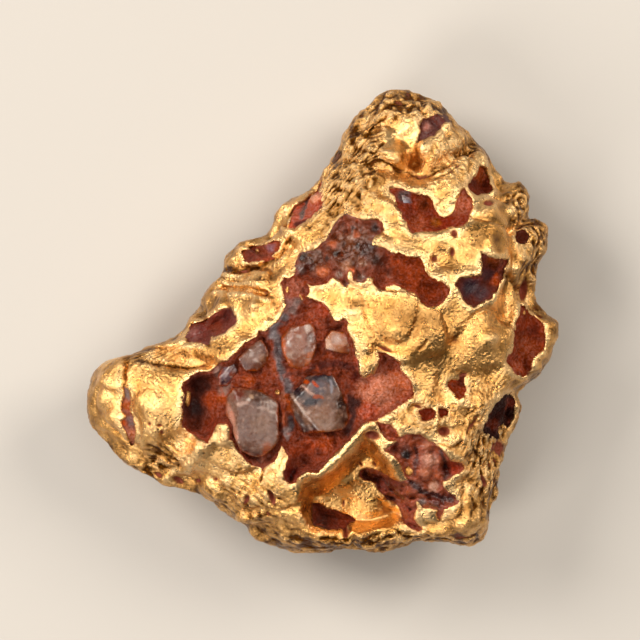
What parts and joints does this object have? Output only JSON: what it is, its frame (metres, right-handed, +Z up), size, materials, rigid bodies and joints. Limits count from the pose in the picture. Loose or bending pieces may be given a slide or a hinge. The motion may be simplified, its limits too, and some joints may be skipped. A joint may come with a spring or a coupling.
{
  "type": "gold nugget",
  "caption": "Rugged lump of native gold with quartz grains and red-brown ironstone locked in its pockets; it lies on worn flats.",
  "frame": {"origin": "centre of the lump's footprint, on the plane that it rests on", "axes": "+Z up from the rest plane towards the face with the large quartz hollow; +Y towards the blunt crown; -X towards the pointed nose"},
  "size_m": [0.0471, 0.0463, 0.0201],
  "materials": {
    "native_gold": "native gold, satin with fine hammered grain, stained red-brown in its creases",
    "ironstone": "earthy red-brown ironstone with glossy dark knobs",
    "vein_quartz": "cloudy grey-mauve vein quartz, smoky in places"
  },
  "bodies": {
    "root": {"gold_nugget": "native_gold", "ironstone_crown": "ironstone", "ironstone_east_hollow": "ironstone", "ironstone_flank_east": "ironstone", "ironstone_flank_north_west": "ironstone", "ironstone_flank_south": "ironstone", "ironstone_heart": "ironstone", "ironstone_left": "ironstone", "ironstone_lens": "ironstone", "ironstone_lower_patch": "ironstone", "ironstone_matrix": "ironstone", "ironstone_nose_crack": "ironstone", "ironstone_peak": "ironstone", "ironstone_rim_slot": "ironstone", "ironstone_round": "ironstone", "ironstone_shield": "ironstone", "ironstone_shoulder": "ironstone", "ironstone_trough_hole": "ironstone", "ironstone_twin": "ironstone", "ironstone_underside_large": "ironstone", "ironstone_underside_small": "ironstone", "ironstone_vee": "ironstone", "quartz_lower_left": "vein_quartz", "quartz_lower_right": "vein_quartz", "quartz_small_left": "vein_quartz", "quartz_upper": "vein_quartz", "quartz_upper_left": "vein_quartz", "quartz_upper_right": "vein_quartz"}
  },
  "joints": []
}
